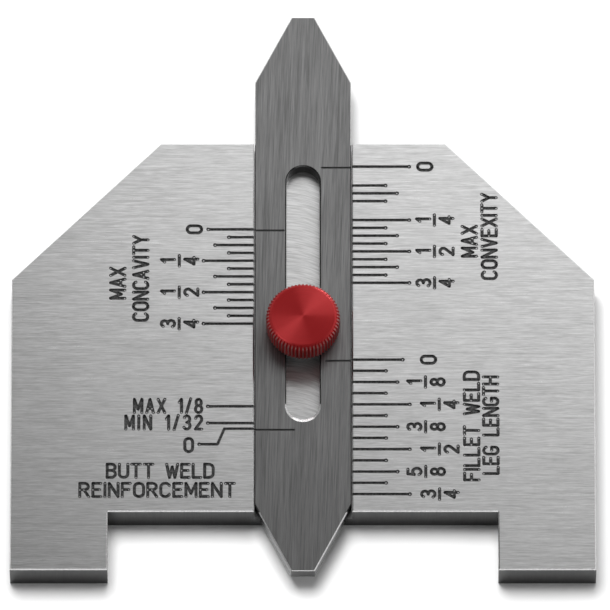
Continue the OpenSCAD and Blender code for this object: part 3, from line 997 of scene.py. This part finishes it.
class WELDGAUGE_OT_stage(Operator):
    """Adds the floor, the lamps, the white surroundings and the camera"""

    bl_idname = "weld_gauge.stage"
    bl_label = "Stage"

    def add_lamp(self, scene, name, power, size, place, towards, reach):
        """Adds an area lamp that lights the objects in a collection, or all but those excluded in it."""
        light = bpy.data.lights.new(name, "AREA")
        light.shape = "RECTANGLE"
        light.size, light.size_y = size
        light.energy = power
        lamp = bpy.data.objects.new(name, light)
        lamp.location = place
        lamp.rotation_euler = towards
        lamp.light_linking.receiver_collection = reach
        scene.collection.objects.link(lamp)

    def execute(self, context):
        scene, stage = context.scene, context.scene.weld_gauge.stage
        bm = bmesh.new()
        bmesh.ops.create_grid(bm, x_segments=1, y_segments=1, size=3.0)
        mesh = bpy.data.meshes.new("floor")
        bm.to_mesh(mesh)
        bm.free()
        mesh.materials.append(white_card(stage))
        floor = bpy.data.objects.new("floor", mesh)
        scene.collection.objects.link(floor)

        only_floor = bpy.data.collections.new("only_floor")
        only_floor.objects.link(floor)
        knob = bpy.data.objects["knob_knurled"]
        only_knob = bpy.data.collections.new("only_knob")
        only_knob.objects.link(knob)
        only_slide = bpy.data.collections.new("only_slide")
        only_slide.objects.link(bpy.data.objects["slide_pointed"])
        steel = bpy.data.collections.new("all_but_floor_and_knob")
        for index, piece in enumerate((floor, knob)):
            steel.objects.link(piece)
            steel.collection_objects[index].light_linking.link_state = "EXCLUDE"
        # The softbox hangs level, and its near edge stands where the lower half of the plate mirrors it,
        # so that the sheen fades towards the feet
        along = Vector((math.sin(stage.softbox_turn), math.cos(stage.softbox_turn), 0))
        middle = Vector(stage.softbox_near) + along * stage.softbox_size[1] / 2
        level = (0, 0, -stage.softbox_turn)
        self.add_lamp(scene, "softbox", stage.softbox, stage.softbox_size, middle, level, steel)
        # The card's near left corner hangs where the middle of the knob's face mirrors it, so that the
        # rings of the face fan its light into two quarters
        side, rise = 0.25, 0.3
        back = rise / math.tan(stage.elevation)
        corner = Vector((SCREW_AXIS.x, SCREW_AXIS.y + back, KNOB_HIGH.z + rise))
        fan = Euler((0, 0, math.radians(7)))
        middle = corner + fan.to_matrix() @ Vector((side / 2, side / 2, 0))
        self.add_lamp(scene, "knob_card", stage.card, (side, side), middle, fan, only_knob)
        # Name, power, width and length, place, and what it lights; each looks at the middle of the gauge.
        # The floor lamp is steep, which keeps the shadow short
        for name, power, size, place, reach in (
            ("fill_lamp", stage.fill, (0.3, 0.3), Vector((-0.31, -0.12, 0.55)), only_knob),
            ("kicker_lamp", stage.kicker, (0.2, 0.06), Vector((0.2, 0.4, 0.07)), only_knob),
            ("front_bank", stage.bank, (1.0, 0.45), Vector((0.0, -0.55, 0.5)), steel),
            ("rear_lamp", stage.rear, (0.4, 0.16), Vector((0.0, 0.5, 0.23)), only_slide),
            ("strip_lamp", stage.strip, (0.5, 0.07), Vector((0.1, -0.46, 0.2)), steel),
            ("floor_lamp", stage.flood, (0.55, 0.55), Vector((-0.11, 0.29, 0.95)), only_floor),
        ):
            towards = (-place).to_track_quat("-Z", "Y").to_euler()
            self.add_lamp(scene, name, power, size, place, towards, reach)

        world = bpy.data.worlds.new("white_room")
        scene.world = world
        world.use_nodes = True
        tree = world.node_tree
        tree.nodes.clear()
        towards = add_node(tree, "ShaderNodeTexCoord").outputs["Generated"]
        axes = add_node(tree, "ShaderNodeSeparateXYZ", {0: towards})
        # The pale walls stand higher at the sides, where the steel mirrors them when seen from low down
        aside = add_node(tree, "ShaderNodeMath", {0: axes.outputs[0]}, operation="ABSOLUTE")
        height = add_node(tree, "ShaderNodeMath", {
            0: aside.outputs[0], 1: -0.6, 2: axes.outputs[2]}, operation="MULTIPLY_ADD")
        shade = add_node(
            tree, "ShaderNodeMapRange",
            {0: height.outputs[0], 1: 0.25, 2: 0.6, 3: stage.wall, 4: stage.ceiling},
            interpolation_type="SMOOTHSTEP")
        # The window side, on the right, is brighter than the left
        window = add_node(tree, "ShaderNodeMapRange", {0: axes.outputs[0], 1: -1, 2: 1, 3: 0.55, 4: 1.3})
        # In front the room is dark, which deepens the shadow under the near edges
        front = add_node(tree, "ShaderNodeMapRange", {0: axes.outputs[1], 1: -0.7, 2: -0.1, 3: 0.15, 4: 1})
        walls = add_node(
            tree, "ShaderNodeMath", {0: shade.outputs[0], 1: window.outputs[0]}, operation="MULTIPLY")
        whole = add_node(
            tree, "ShaderNodeMath", {0: walls.outputs[0], 1: front.outputs[0]}, operation="MULTIPLY")
        room = add_node(tree, "ShaderNodeBackground", {
            "Color": (1, 1, 1, 1), "Strength": whole.outputs[0]})
        add_node(tree, "ShaderNodeOutputWorld", {0: room.outputs[0]})

        lens = bpy.data.cameras.new("camera")
        lens.lens = stage.lens
        lens.sensor_width = 36
        lens.clip_start, lens.clip_end = 0.1, 20
        camera = bpy.data.objects.new("camera", lens)
        reach = stage.across * stage.lens / lens.sensor_width
        lean = math.pi / 2 - stage.elevation
        camera.location = Vector(stage.aim) + reach * Vector((0, -math.sin(lean), math.cos(lean)))
        camera.rotation_euler = Euler((lean, 0, 0))
        scene.collection.objects.link(camera)
        scene.camera = camera
        scene.view_settings.view_transform = "Standard"
        return {"FINISHED"}


class WELDGAUGE_PT_panel(Panel):
    """Lists the weld gauge's pieces and settings"""

    bl_idname = "WELDGAUGE_PT_panel"
    bl_label = "Weld gauge"
    bl_space_type = "VIEW_3D"
    bl_region_type = "UI"
    bl_category = "Weld gauge"

    def draw(self, context):
        gauge = context.scene.weld_gauge
        for group, operators in (
            (gauge.engraving, (WELDGAUGE_OT_plate,)),
            (gauge.steel, (WELDGAUGE_OT_slide, WELDGAUGE_OT_screw)),
            (gauge.knob, (WELDGAUGE_OT_knob,)),
            (gauge.stage, (WELDGAUGE_OT_stage,)),
        ):
            box = self.layout.box()
            for operator in operators:
                box.operator(operator.bl_idname)
            for name in group.__annotations__:
                box.prop(group, name)


CLASSES = (
    GaugeEngraving,
    GaugeSteel,
    GaugeKnob,
    GaugeStage,
    GaugeSettings,
    WELDGAUGE_OT_plate,
    WELDGAUGE_OT_slide,
    WELDGAUGE_OT_knob,
    WELDGAUGE_OT_screw,
    WELDGAUGE_OT_stage,
    WELDGAUGE_PT_panel,
)


def register():
    for cls in CLASSES:
        bpy.utils.register_class(cls)
    bpy.types.Scene.weld_gauge = PointerProperty(type=GaugeSettings)


def unregister():
    del bpy.types.Scene.weld_gauge
    for cls in reversed(CLASSES):
        bpy.utils.unregister_class(cls)


def main():
    register()
    bpy.ops.weld_gauge.plate()
    bpy.ops.weld_gauge.slide()
    bpy.ops.weld_gauge.knob()
    bpy.ops.weld_gauge.screw()
    bpy.ops.weld_gauge.stage()


if __name__ == "__main__":
    main()
